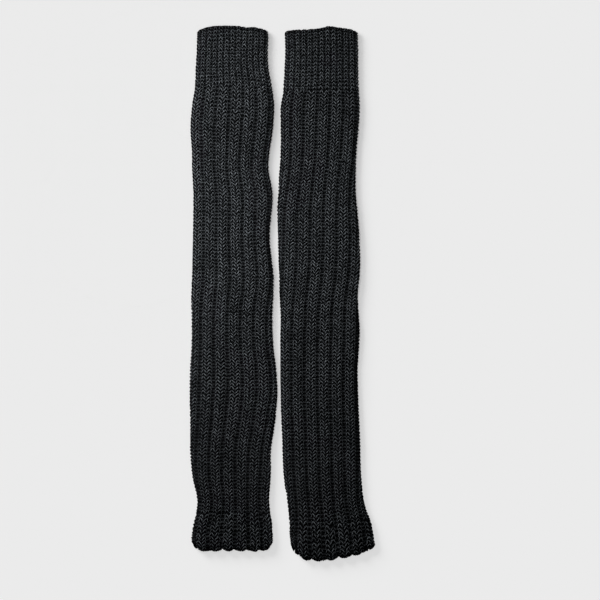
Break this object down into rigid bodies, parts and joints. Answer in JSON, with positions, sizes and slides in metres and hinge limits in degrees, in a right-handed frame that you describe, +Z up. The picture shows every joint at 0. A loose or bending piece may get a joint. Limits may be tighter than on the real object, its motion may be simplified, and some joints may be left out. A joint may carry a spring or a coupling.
{
  "type": "pair of rib-knit leg warmers",
  "caption": "Pair of long rib-knit tubes laid flat side by side, each with a close-ribbed cuff, a broad-ribbed leg and a flared, scalloped hem.",
  "frame": {"origin": "the middle of the pair's box, on the surface that the pair lies on", "axes": "+Y along both tubes towards the cuffs, +X across the pair, +Z up out of the surface"},
  "size_m": [0.232, 0.6678, 0.0111],
  "materials": {
    "cuff_knit": "thick black yarn in close single ribs",
    "leg_knit": "thick black yarn in broad ribs two stitches wide",
    "hem_knit": "thick black yarn in broad, looser ribs"
  },
  "bodies": {
    "root": {"left_cuff": "cuff_knit", "left_leg": "leg_knit", "left_hem": "hem_knit", "right_cuff": "cuff_knit", "right_leg": "leg_knit", "right_hem": "hem_knit"}
  },
  "joints": []
}
